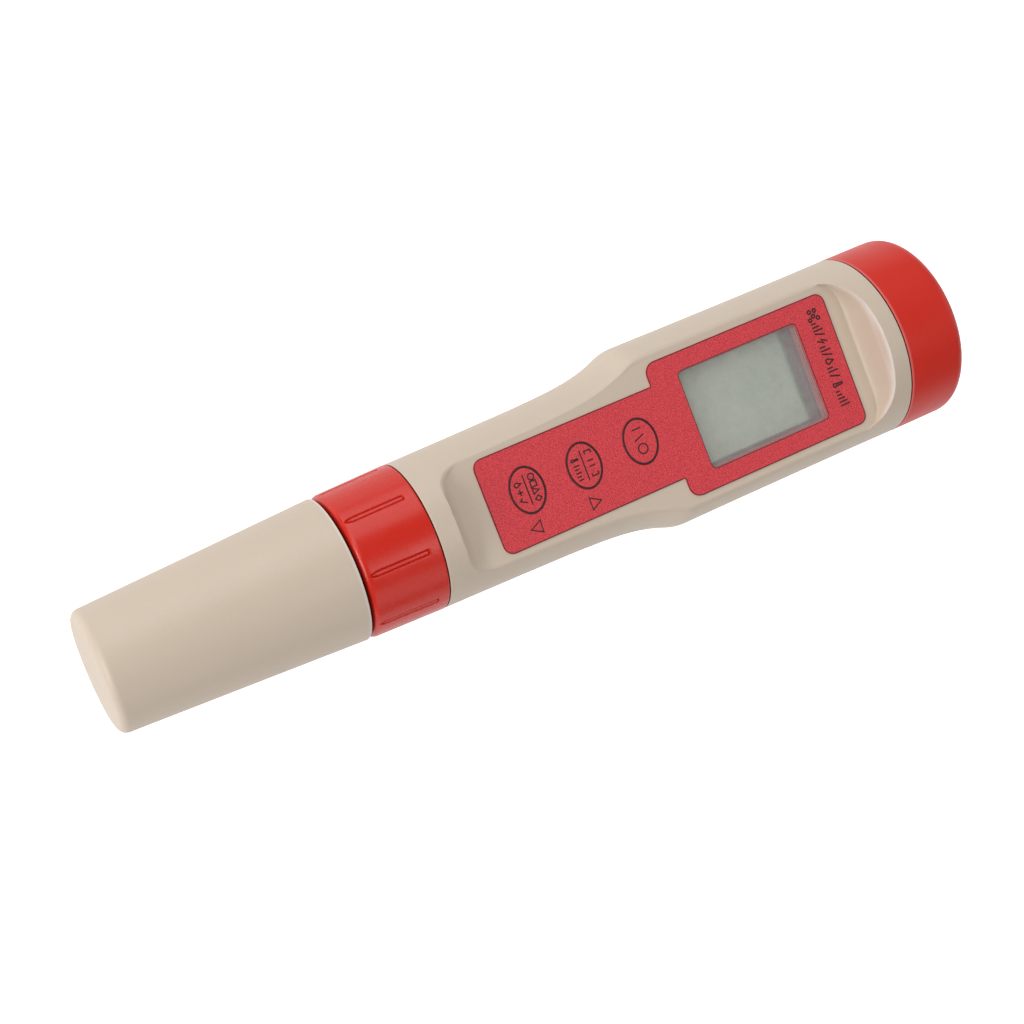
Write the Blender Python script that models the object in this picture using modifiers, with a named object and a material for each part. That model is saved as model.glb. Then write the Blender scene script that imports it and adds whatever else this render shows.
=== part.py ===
"""Pen-shaped water tester with a removable probe, three keys, a display and a battery cap.

Frame: +X runs along the pen from the closed end of the protective cap to the battery cap,
+Z is up and points out of the key and display face, and the origin is the centre of the
protective cap's flat end. Lengths below are millimetres and are scaled once to metres.
"""
import math

import bmesh
import bpy
from mathutils import Vector

MM = 0.001
PART = "water_test_pen"
CUTTERS = "cutters"

# protective cap
CAP_END = 48.3
CAP_TIP_R = 11.94
CAP_MOUTH_R = 14.28
CAP_EDGE = 1.7
CAP_BORE_TIP_R = 10.2
CAP_SEAT_R = 12.45
CAP_SEAT_X = 33.0

# locking collar
COLLAR_START = 48.8
COLLAR_END = 64.34
COLLAR_START_R = 14.35
COLLAR_END_R = 14.77
COLLAR_BORE_R = 12.3
COLLAR_LIP_R = 10.8
COLLAR_LIP_END = 51.0
GRIP_GROOVES = 8
GROOVE_PHASE = math.radians(-9.0)
GROOVE_START = 49.4
GROOVE_END = 62.0

# collar thread, a square-edged ridge on the barrel neck in a wider groove in the collar
THREAD_LEAD = 2.0
THREAD_R = 12.0
RIDGE_WIRE = 0.55
GROOVE_WIRE = 0.95
RIDGE_START = 57.5
RIDGE_TURNS = 2.0
GROOVE_LEAD_IN = 0.6
THREAD_STEPS = 24

# barrel
BARREL_START = 64.64
BARREL_END = 168.0
NECK_START = 53.7
NECK_R = 11.8
PLUG_BORE_R = 10.2
PLUG_BORE_END = 68.0
SOCKET_BORE_R = 8.2
CAVITY_START = 75.5
WALL_UNDER_FACE = 8.3
MOUTH_R = 17.0
MOUTH_START = 164.6
FACE_Z = 10.3
RECESS_START = 72.6
RECESS_END = 162.2
RECESS_HALF = 14.7

# label, keys and display
LABEL_BOTTOM = 10.35
LABEL_TOP = 10.6
LABEL_START = 76.85
LABEL_STEP = 116.76
LABEL_END = 159.13
LABEL_NARROW = 9.52
LABEL_WIDE = 13.9
LABEL_SHOULDER_R = 2.4
WINDOW_START = 123.1
WINDOW_END = 151.1
WINDOW_HALF = 10.1
KEY_CENTRES = (85.45, 97.98, 110.67)
KEY_NAMES = ("key_mode", "key_hold", "key_power")
KEY_SEMI_X = 3.6
KEY_SEMI_Y = 4.65
KEY_Y = 0.6
KEY_GAP = 0.2

# board stack
BOARD_BOTTOM = 3.4
BOARD_TOP = 5.0
LCD_BOTTOM = 6.0
LCD_TOP = 7.6
SCREW_X = 118.7
SCREW_YS = (-11.6, 11.6)
PIN_SPOTS = ((3.6, 2.2), (3.6, -2.2), (-3.6, 2.2), (-3.6, -2.2), (0.0, 5.0))

# battery end
BATTERY_CAP_START = 168.3
BATTERY_CAP_END = 182.17
BATTERY_CAP_R = 19.05
CELL_R = 5.8
CELL_LENGTH = 5.4
CELL_Y = 6.6
CELL_Z = -6.5
FIRST_CELL_X = 152.9


def clear_scene():
    """Remove every object the file starts with."""
    for obj in list(bpy.data.objects):
        bpy.data.objects.remove(obj, do_unlink=True)


def make_collection(name):
    """Return a new collection linked to the scene."""
    collection = bpy.data.collections.new(name)
    bpy.context.scene.collection.children.link(collection)
    return collection


def linear(channel):
    """Turn one 0-255 display channel into a linear value."""
    value = channel / 255.0
    if value <= 0.04045:
        return value / 12.92
    return ((value + 0.055) / 1.055) ** 2.4


def finish(name, rgb, roughness, metallic=0.0, alpha=1.0):
    """Return a Principled material with the given colour and surface."""
    mat = bpy.data.materials.new(name)
    mat.use_nodes = True
    shader = mat.node_tree.nodes["Principled BSDF"]
    shader.inputs["Base Color"].default_value = (
        linear(rgb[0]), linear(rgb[1]), linear(rgb[2]), 1.0)
    shader.inputs["Roughness"].default_value = roughness
    shader.inputs["Metallic"].default_value = metallic
    shader.inputs["Alpha"].default_value = alpha
    return mat


def place(name, mesh, collection, location=(0.0, 0.0, 0.0), rotation=(0.0, 0.0, 0.0)):
    """Link a mesh as a named object at a millimetre location."""
    obj = bpy.data.objects.new(name, mesh)
    collection.objects.link(obj)
    obj.location = Vector(location) * MM
    obj.rotation_euler = rotation
    return obj


def weld(obj):
    """Merge the hair-thin edges that cuts leave behind."""
    modifier = obj.modifiers.new("Weld", "WELD")
    modifier.merge_threshold = 0.00001


def dress(obj, mat):
    """Give an object one material and smooth its round sides."""
    obj.data.materials.append(mat)
    for polygon in obj.data.polygons:
        polygon.use_smooth = True
    obj.data.set_sharp_from_angle(angle=math.radians(35.0))


def turned(name, outline, collection, steps, centre=(0.0, 0.0), closed=False, along="X"):
    """Revolve (height, radius) points listed down the outer side about an axis.

    The axis is parallel to X at (y, z) = centre, or parallel to Z at (x, y) = centre.
    """
    mesh = bpy.data.meshes.new(name)
    verts = [(radius * MM, 0.0, height * MM) for height, radius in outline]
    edges = [(i, i + 1) for i in range(len(verts) - 1)]
    if closed:
        edges.append((len(verts) - 1, 0))
    mesh.from_pydata(verts, edges, [])
    if along == "X":
        location = (0.0, centre[0], centre[1])
        rotation = (0.0, math.radians(90.0), 0.0)
    else:
        location = (centre[0], centre[1], 0.0)
        rotation = (0.0, 0.0, 0.0)
    obj = place(name, mesh, collection, location, rotation)
    screw = obj.modifiers.new("Turn", "SCREW")
    screw.axis = "Z"
    screw.angle = math.radians(360.0)
    screw.steps = steps
    screw.render_steps = steps
    screw.use_merge_vertices = True
    screw.merge_threshold = 0.00001
    screw.use_smooth_shade = True
    return obj


def ring_outline(height, radius, wire, sides=10):
    """Return a closed circle outline for an O-ring."""
    points = []
    for i in range(sides):
        angle = -math.tau * i / sides
        points.append((height + wire * math.sin(angle), radius + wire * math.cos(angle)))
    return points


def rounded(corners, segments=5):
    """Return a polygon whose (x, y, radius) corners are replaced by arcs."""
    points = []
    count = len(corners)
    for i, (x, y, radius) in enumerate(corners):
        here = Vector((x, y))
        if radius <= 0.0:
            points.append((x, y))
            continue
        before = (Vector(corners[i - 1][:2]) - here).normalized()
        after = (Vector(corners[(i + 1) % count][:2]) - here).normalized()
        half = before.angle(after) / 2.0
        middle = here + (before + after).normalized() * (radius / math.sin(half))
        start = here + before * (radius / math.tan(half)) - middle
        turn = Vector.angle_signed(start, here + after * (radius / math.tan(half)) - middle)
        for k in range(segments + 1):
            angle = -turn * k / segments
            spoke = Vector((
                start.x * math.cos(angle) - start.y * math.sin(angle),
                start.x * math.sin(angle) + start.y * math.cos(angle)))
            points.append(tuple(middle + spoke))
    return points


def oval(centre_x, centre_y, semi_x, semi_y, count=32):
    """Return an ellipse polygon."""
    points = []
    for i in range(count):
        angle = math.tau * i / count
        points.append((centre_x + semi_x * math.cos(angle), centre_y + semi_y * math.sin(angle)))
    return points


def prism(name, outline, bottom, top, collection):
    """Extrude a counter-clockwise XY outline from bottom to top."""
    bm = bmesh.new()
    verts = [bm.verts.new((x * MM, y * MM, bottom * MM)) for x, y in outline]
    face = bm.faces.new(verts)
    extruded = bmesh.ops.extrude_face_region(bm, geom=[face])
    raised = [item for item in extruded["geom"] if isinstance(item, bmesh.types.BMVert)]
    bmesh.ops.translate(bm, verts=raised, vec=(0.0, 0.0, (top - bottom) * MM))
    bmesh.ops.recalc_face_normals(bm, faces=bm.faces)
    mesh = bpy.data.meshes.new(name)
    bm.to_mesh(mesh)
    bm.free()
    return place(name, mesh, collection)


def box(name, low, high, collection):
    """Return a cuboid between two millimetre corners."""
    bm = bmesh.new()
    bmesh.ops.create_cube(bm, size=1.0)
    size = Vector(high) - Vector(low)
    bmesh.ops.scale(bm, vec=size * MM, verts=bm.verts)
    mesh = bpy.data.meshes.new(name)
    bm.to_mesh(mesh)
    bm.free()
    return place(name, mesh, collection, (Vector(low) + Vector(high)) / 2.0)


def tube(name, points, wire, collection, resolution=1):
    """Return a closed tube mesh along millimetre points; resolution 0 gives a square section."""
    curve = bpy.data.curves.new(name + "_path", "CURVE")
    curve.dimensions = "3D"
    curve.bevel_depth = wire * MM
    curve.bevel_resolution = resolution
    curve.use_fill_caps = True
    spline = curve.splines.new("POLY")
    spline.points.add(len(points) - 1)
    for point, position in zip(spline.points, points):
        point.co = (position[0] * MM, position[1] * MM, position[2] * MM, 1.0)
    path = place(name + "_path", curve, collection)
    graph = bpy.context.evaluated_depsgraph_get()
    mesh = bpy.data.meshes.new_from_object(path.evaluated_get(graph))
    mesh.name = name
    bpy.data.objects.remove(path, do_unlink=True)
    bm = bmesh.new()
    bm.from_mesh(mesh)
    bmesh.ops.remove_doubles(bm, verts=bm.verts, dist=0.000001)
    bmesh.ops.recalc_face_normals(bm, faces=bm.faces)
    bm.to_mesh(mesh)
    bm.free()
    return place(name, mesh, collection)


def helix(start, turns, radius, lead, steps, centre=(0.0, 0.0)):
    """Return points of a right-hand helix about an axis parallel to X.

    Equal start positions give equal phase, so a ridge and its groove line up.
    """
    points = []
    for i in range(int(steps * turns) + 1):
        x = start + lead * i / steps
        angle = math.tau * x / lead
        points.append((
            x, centre[0] + radius * math.cos(angle), centre[1] + radius * math.sin(angle)))
    return points


def use_boolean(target, tool, operation="DIFFERENCE"):
    """Cut or join one object with another."""
    modifier = target.modifiers.new(operation.title() + "_" + tool.name, "BOOLEAN")
    modifier.operation = operation
    modifier.solver = "EXACT"
    modifier.object = tool
    tool.hide_render = True
    tool.display_type = "WIRE"


def build_protective_cap(parts, cutters, looks):
    """Tapered push-on cap with its soaking sponge."""
    cap = turned("protective_cap", [
        (CAP_END, 0.0),
        (CAP_END, CAP_MOUTH_R - 0.35),
        (CAP_END - 0.35, CAP_MOUTH_R),
        (CAP_EDGE, CAP_TIP_R + 0.07),
        (CAP_EDGE * 0.6, CAP_TIP_R - 0.1),
        (CAP_EDGE * 0.28, CAP_TIP_R - 0.5),
        (CAP_EDGE * 0.07, CAP_TIP_R - 1.05),
        (0.0, CAP_TIP_R - CAP_EDGE),
        (0.0, 0.0)], parts, 48)
    bore = turned("cap_bore", [
        (CAP_END + 1.0, 0.0),
        (CAP_END + 1.0, CAP_SEAT_R + 0.4),
        (CAP_END - 0.6, CAP_SEAT_R),
        (CAP_SEAT_X, CAP_SEAT_R),
        (CAP_SEAT_X - 1.2, CAP_SEAT_R - 0.9),
        (2.4, CAP_BORE_TIP_R),
        (1.8, CAP_BORE_TIP_R - 0.6),
        (1.8, 0.0)], cutters, 36)
    use_boolean(cap, bore)
    dress(cap, looks["beige"])
    sponge = turned("cap_sponge", [
        (8.0, 0.0), (8.0, 9.4), (7.4, 9.9), (2.8, 9.7), (2.2, 9.1), (2.2, 0.0)], parts, 32)
    dress(sponge, looks["sponge"])


def build_collar(parts, cutters, looks):
    """Red locking ring with grip grooves, an inner lip and a round female thread."""
    collar = turned("lock_collar", [
        (COLLAR_END, COLLAR_BORE_R),
        (COLLAR_END, COLLAR_END_R - 0.5),
        (COLLAR_END - 0.15, COLLAR_END_R - 0.15),
        (COLLAR_END - 0.5, COLLAR_END_R),
        (COLLAR_START + 1.6, COLLAR_START_R + 0.05),
        (COLLAR_START + 0.9, COLLAR_START_R - 0.12),
        (COLLAR_START + 0.3, COLLAR_START_R - 0.5),
        (COLLAR_START, COLLAR_START_R - 1.2),
        (COLLAR_START, COLLAR_LIP_R),
        (COLLAR_LIP_END, COLLAR_LIP_R),
        (COLLAR_LIP_END, COLLAR_BORE_R)], parts, 48, closed=True)
    for i in range(GRIP_GROOVES):
        angle = GROOVE_PHASE + math.tau * i / GRIP_GROOVES
        name = "grip_groove_%d" % (i + 1)
        groove = box(name, (GROOVE_START - 2.0, -0.55, -0.5), (GROOVE_END, 0.55, 1.5), cutters)
        groove.rotation_euler = (-angle, 0.0, 0.0)
        slope = (COLLAR_END_R - COLLAR_START_R) / (COLLAR_END - COLLAR_START)
        depth_r = COLLAR_START_R + slope * 7.0 + 0.05
        groove.location = Vector((
            (GROOVE_START - 2.0 + GROOVE_END) / 2.0,
            depth_r * math.sin(angle),
            depth_r * math.cos(angle))) * MM
        use_boolean(collar, groove)
    points = helix(
        RIDGE_START - GROOVE_LEAD_IN, (COLLAR_END + 1.5 - RIDGE_START + GROOVE_LEAD_IN) / THREAD_LEAD,
        THREAD_R, THREAD_LEAD, THREAD_STEPS)
    use_boolean(collar, tube("collar_thread", points, GROOVE_WIRE, cutters, 0))
    dress(collar, looks["collar_red"])


def build_probe(parts, cutters, looks):
    """Removable probe: guard shell, sensing parts, locking flange, plug and pins."""
    shell = turned("probe_shell", [
        (48.45, 0.0),
        (48.45, 11.6),
        (43.3, 11.6),
        (43.3, 10.9),
        (41.7, 10.9),
        (41.7, 11.6),
        (34.5, 11.6),
        (32.5, 10.6),
        (30.5, 9.3),
        (12.4, 9.0),
        (12.0, 8.6),
        (12.0, 0.0)], parts, 36)
    cup = turned("guard_cup", [
        (26.0, 0.0), (26.0, 7.4), (11.0, 7.4), (11.0, 0.0)], cutters, 28)
    use_boolean(shell, cup)
    for i in range(2):
        name = "guard_window_%d" % (i + 1)
        low = (14.5, -12.0, -2.6) if i == 0 else (14.5, -2.6, -12.0)
        high = (24.5, 12.0, 2.6) if i == 0 else (24.5, 2.6, 12.0)
        use_boolean(shell, box(name, low, high, cutters))
    sockets = (
        ("bulb_hole", 0.0, 0.0, 3.25, 30.0),
        ("junction_hole", -4.6, 2.6, 1.25, 29.0),
        ("ec_hole_1", 4.4, 2.9, 1.05, 29.0),
        ("ec_hole_2", 4.4, -2.9, 1.05, 29.0),
        ("temperature_hole", -4.6, -2.6, 1.35, 29.0))
    for name, y, z, radius, depth in sockets:
        drill = turned(name, [
            (depth, 0.0), (depth, radius), (25.0, radius), (25.0, 0.0)],
            cutters, 16, centre=(y, z))
        use_boolean(shell, drill)
    weld(shell)
    dress(shell, looks["probe_grey"])
    connector = turned("probe_connector", [
        (66.5, 0.0),
        (66.5, 9.3),
        (66.0, 9.8),
        (61.0, 9.8),
        (61.0, 8.9),
        (59.4, 8.9),
        (59.4, 9.8),
        (53.3, 9.8),
        (53.3, 12.0),
        (51.3, 12.0),
        (51.3, 10.4),
        (48.5, 10.4),
        (48.5, 0.0)], parts, 32)
    for i, (y, z) in enumerate(PIN_SPOTS):
        hole = turned("pin_seat_%d" % (i + 1), [
            (67.0, 0.0), (67.0, 0.55), (63.0, 0.55), (63.0, 0.0)], cutters, 12, centre=(y, z))
        use_boolean(connector, hole)
    dress(connector, looks["probe_grey"])
    dress(turned("cap_seal", ring_outline(42.5, 11.62, 0.55, 8), parts, 24, closed=True),
          looks["rubber"])
    dress(turned("probe_seal", ring_outline(60.2, 9.55, 0.5, 8), parts, 24, closed=True),
          looks["rubber"])
    dress(turned("glass_bulb", [
        (29.9, 0.0), (29.9, 3.1), (19.6, 3.1), (18.9, 3.5), (17.8, 3.9), (16.6, 4.0),
        (15.5, 3.75), (14.5, 3.1), (13.8, 2.1), (13.4, 1.0), (13.3, 0.0)], parts, 24),
          looks["bulb_glass"])
    dress(turned("reference_junction", [
        (28.9, 0.0), (28.9, 1.15), (25.6, 1.15), (25.4, 0.95), (25.4, 0.0)],
        parts, 16, centre=(-4.6, 2.6)), looks["junction_white"])
    for i, z in enumerate((2.9, -2.9)):
        pin = turned("ec_pin_%d" % (i + 1), [
            (28.9, 0.0), (28.9, 0.95), (17.4, 0.95), (16.8, 0.75), (16.5, 0.0)],
            parts, 16, centre=(4.4, z))
        dress(pin, looks["pin_steel"])
    dress(turned("temperature_pin", [
        (28.9, 0.0), (28.9, 1.25), (16.9, 1.25), (16.0, 0.95), (15.6, 0.0)],
        parts, 16, centre=(-4.6, -2.6)), looks["pin_steel"])
    for i, (y, z) in enumerate(PIN_SPOTS):
        pin = turned("connector_pin_%d" % (i + 1), [
            (72.6, 0.0), (72.6, 0.3), (72.2, 0.5), (63.05, 0.5), (63.05, 0.0)],
            parts, 12, centre=(y, z))
        dress(pin, looks["brass"])


def recess_outline(grow_end, grow_tip, grow_side):
    """Outline of the face recess, grown outward at the tip, the far end and the sides."""
    far = RECESS_END + grow_end
    tip = RECESS_START - grow_tip
    wide = RECESS_HALF + grow_side
    narrow = 13.0 + grow_side
    return rounded([
        (tip, -10.6, 1.6),
        (tip + 2.6, -narrow, 1.0),
        (106.0, -narrow, 8.0),
        (112.5, -wide, 6.0),
        (far, -wide, 3.2),
        (far, wide, 3.2),
        (112.5, wide, 6.0),
        (106.0, narrow, 8.0),
        (tip + 2.6, narrow, 1.0),
        (tip, 10.6, 1.6)])


def recess_cutter(cutters):
    """Loft the recess from its floor outline to a larger outline above the barrel."""
    rise = 10.0
    low = recess_outline(0.0, 0.0, 0.0)
    high = recess_outline(1.6, rise, 2.4)
    bm = bmesh.new()
    low_ring = [bm.verts.new((x * MM, y * MM, FACE_Z * MM)) for x, y in low]
    high_ring = [bm.verts.new((x * MM, y * MM, (FACE_Z + rise) * MM)) for x, y in high]
    bm.faces.new(low_ring)
    bm.faces.new(high_ring)
    count = len(low_ring)
    for i in range(count):
        k = (i + 1) % count
        bm.faces.new((low_ring[i], low_ring[k], high_ring[k], high_ring[i]))
    bmesh.ops.recalc_face_normals(bm, faces=bm.faces)
    mesh = bpy.data.meshes.new("face_recess")
    bm.to_mesh(mesh)
    bm.free()
    return place("face_recess", mesh, cutters)


def build_barrel(parts, cutters, looks):
    """One-piece housing with the face recess, neck thread, cavity and openings."""
    barrel = turned("barrel", [
        (BARREL_END, 0.0),
        (BARREL_END, 18.85),
        (BARREL_END - 0.2, 19.0),
        (157.5, 18.91),
        (147.2, 18.86),
        (136.8, 18.85),
        (126.5, 18.83),
        (116.0, 18.86),
        (115.2, 18.75),
        (114.2, 18.47),
        (112.6, 17.9),
        (110.6, 17.25),
        (108.6, 16.74),
        (105.8, 16.21),
        (102.5, 15.8),
        (95.4, 15.36),
        (85.05, 15.09),
        (74.7, 14.9),
        (BARREL_START + 0.3, 14.74),
        (BARREL_START, 14.45),
        (BARREL_START, NECK_R),
        (NECK_START + 0.5, NECK_R),
        (NECK_START, NECK_R - 0.5),
        (NECK_START, 0.0)], parts, 48)
    ridge = tube("barrel_thread", helix(
        RIDGE_START, RIDGE_TURNS, THREAD_R, THREAD_LEAD, THREAD_STEPS), RIDGE_WIRE, cutters, 0)
    use_boolean(barrel, ridge, "UNION")
    bores = turned("probe_bore", [
        (76.0, 0.0),
        (76.0, SOCKET_BORE_R),
        (PLUG_BORE_END, SOCKET_BORE_R),
        (PLUG_BORE_END, PLUG_BORE_R),
        (NECK_START + 0.5, PLUG_BORE_R),
        (NECK_START - 1.0, PLUG_BORE_R + 0.8),
        (NECK_START - 1.0, 0.0)], cutters, 32)
    use_boolean(barrel, bores)
    cavity = turned("cavity", [
        (BARREL_END - 1.5, 0.0),
        (BARREL_END - 1.5, MOUTH_R),
        (117.0, MOUTH_R),
        (114.5, 16.5),
        (108.0, 14.6),
        (101.0, 13.6),
        (90.0, 13.1),
        (CAVITY_START, 12.9),
        (CAVITY_START, 0.0)], cutters, 32)
    above = box("above_wall", (60.0, -25.0, WALL_UNDER_FACE), (MOUTH_START, 25.0, 40.0), cutters)
    use_boolean(cavity, above)
    use_boolean(barrel, cavity)
    mouth = turned("mouth", [
        (BARREL_END + 1.0, 0.0),
        (BARREL_END + 1.0, MOUTH_R + 1.0),
        (BARREL_END - 0.4, MOUTH_R),
        (MOUTH_START, MOUTH_R),
        (MOUTH_START, 0.0)], cutters, 32)
    use_boolean(barrel, mouth)
    use_boolean(barrel, recess_cutter(cutters))
    use_boolean(barrel, box(
        "window_opening",
        (WINDOW_START, -WINDOW_HALF, 5.0), (WINDOW_END, WINDOW_HALF, 12.0), cutters))
    use_boolean(barrel, box(
        "window_rebate",
        (WINDOW_START - 1.0, -WINDOW_HALF - 1.0, 9.5),
        (WINDOW_END + 1.0, WINDOW_HALF + 1.0, 12.0), cutters))
    for name, x in zip(KEY_NAMES, KEY_CENTRES):
        pocket = prism(
            name + "_pocket", oval(x, KEY_Y, KEY_SEMI_X + KEY_GAP, KEY_SEMI_Y + KEY_GAP),
            9.3, 12.0, cutters)
        use_boolean(barrel, pocket)
        hole = turned(name + "_hole", [
            (12.0, 0.0), (12.0, 1.9), (7.0, 1.9), (7.0, 0.0)],
            cutters, 16, centre=(x, KEY_Y), along="Z")
        use_boolean(barrel, hole)
    weld(barrel)
    dress(barrel, looks["beige"])


def build_face(parts, cutters, looks):
    """Label film, clear window, display and the three keys."""
    label = prism("face_label", rounded([
        (LABEL_START, -LABEL_NARROW, 2.0),
        (LABEL_STEP, -LABEL_NARROW, 0.0),
        (LABEL_STEP, -LABEL_WIDE, LABEL_SHOULDER_R),
        (LABEL_END, -LABEL_WIDE, 2.0),
        (LABEL_END, LABEL_WIDE, 2.0),
        (LABEL_STEP, LABEL_WIDE, LABEL_SHOULDER_R),
        (LABEL_STEP, LABEL_NARROW, 0.0),
        (LABEL_START, LABEL_NARROW, 2.0)]), LABEL_BOTTOM, LABEL_TOP, parts)
    cutout = prism("label_window", rounded([
        (WINDOW_START, -WINDOW_HALF, 1.0),
        (WINDOW_END, -WINDOW_HALF, 1.0),
        (WINDOW_END, WINDOW_HALF, 1.0),
        (WINDOW_START, WINDOW_HALF, 1.0)]), 9.0, 12.0, cutters)
    use_boolean(label, cutout)
    for name, x in zip(KEY_NAMES, KEY_CENTRES):
        hole = prism(
            name + "_cutout", oval(x, KEY_Y, KEY_SEMI_X + KEY_GAP, KEY_SEMI_Y + KEY_GAP),
            9.0, 12.0, cutters)
        use_boolean(label, hole)
    dress(label, looks["label_red"])
    for name, x in zip(KEY_NAMES, KEY_CENTRES):
        key = prism(name, oval(x, KEY_Y, KEY_SEMI_X, KEY_SEMI_Y), 9.8, LABEL_TOP, parts)
        stem = turned(name + "_stem", [
            (10.0, 0.0), (10.0, 1.6), (8.0, 1.6), (8.0, 0.0)],
            cutters, 16, centre=(x, KEY_Y), along="Z")
        use_boolean(key, stem, "UNION")
        dress(key, looks["label_red"])
    window = box(
        "display_window",
        (WINDOW_START - 0.9, -WINDOW_HALF - 0.9, 9.55),
        (WINDOW_END + 0.9, WINDOW_HALF + 0.9, 10.3), parts)
    dress(window, looks["clear"])
    frame = box("display_frame", (120.9, -12.4, 7.65), (152.9, 12.4, 8.25), parts)
    use_boolean(frame, box("frame_opening", (122.8, -9.2, 7.0), (149.0, 10.4, 9.0), cutters))
    dress(frame, looks["frame_mauve"])
    lcd = box("display_panel", (121.3, -12.0, LCD_BOTTOM), (152.5, 12.0, LCD_TOP), parts)
    dress(lcd, looks["lcd"])
    for i, x in enumerate((122.2, 150.2)):
        strip = box(
            "contact_strip_%d" % (i + 1), (x, -11.0, BOARD_TOP + 0.05),
            (x + 1.6, 11.0, LCD_BOTTOM - 0.05), parts)
        dress(strip, looks["rubber"])


def build_board(parts, cutters, looks):
    """Circuit board, switches, controller, probe socket and the two board screws."""
    board = prism("circuit_board", rounded([
        (76.4, -7.5, 0.0),
        (79.4, -10.4, 0.0),
        (112.0, -10.4, 0.0),
        (117.0, -14.3, 0.0),
        (152.3, -14.3, 1.0),
        (152.3, 14.3, 1.0),
        (117.0, 14.3, 0.0),
        (112.0, 10.4, 0.0),
        (79.4, 10.4, 0.0),
        (76.4, 7.5, 0.0)]), BOARD_BOTTOM, BOARD_TOP, parts)
    for i, y in enumerate(SCREW_YS):
        hole = turned("board_hole_%d" % (i + 1), [
            (6.0, 0.0), (6.0, 1.1), (2.0, 1.1), (2.0, 0.0)],
            cutters, 16, centre=(SCREW_X, y), along="Z")
        use_boolean(board, hole)
        screw = turned("board_screw_%d" % (i + 1), [
            (6.1, 0.0), (6.1, 1.2), (5.7, 1.7), (5.05, 1.7), (5.05, 0.8), (0.4, 0.8), (0.0, 0.0)],
            parts, 16, centre=(SCREW_X, y), along="Z")
        slot = box(
            "screw_slot_%d" % (i + 1), (SCREW_X - 2.0, y - 0.2, 5.7), (SCREW_X + 2.0, y + 0.2, 7.0),
            cutters)
        use_boolean(screw, slot)
        dress(screw, looks["pin_steel"])
    dress(board, looks["board_green"])
    for i, (name, x) in enumerate(zip(KEY_NAMES, KEY_CENTRES)):
        base = box(
            "switch_base_%d" % (i + 1), (x - 3.0, KEY_Y - 3.0, BOARD_TOP + 0.05),
            (x + 3.0, KEY_Y + 3.0, 7.0), parts)
        well = turned("switch_well_%d" % (i + 1), [
            (8.0, 0.0), (8.0, 1.8), (5.9, 1.8), (5.9, 0.0)],
            cutters, 16, centre=(x, KEY_Y), along="Z")
        use_boolean(base, well)
        dress(base, looks["switch_black"])
        button = turned("switch_button_%d" % (i + 1), [
            (7.95, 0.0), (7.95, 1.3), (7.75, 1.5), (6.4, 1.5), (6.4, 0.0)],
            parts, 16, centre=(x, KEY_Y), along="Z")
        dress(button, looks["switch_black"])
    dress(box("microcontroller", (128.0, -5.0, 2.1), (138.0, 5.0, 3.35), parts),
          looks["switch_black"])
    socket = turned("probe_socket", [
        (75.2, 0.0), (75.2, 7.9), (68.3, 7.9), (68.3, 0.0)], parts, 32)
    for i, (y, z) in enumerate(PIN_SPOTS):
        hole = turned("socket_hole_%d" % (i + 1), [
            (73.5, 0.0), (73.5, 0.8), (67.0, 0.8), (67.0, 0.0)], cutters, 12, centre=(y, z))
        use_boolean(socket, hole)
    dress(socket, looks["switch_black"])


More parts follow.
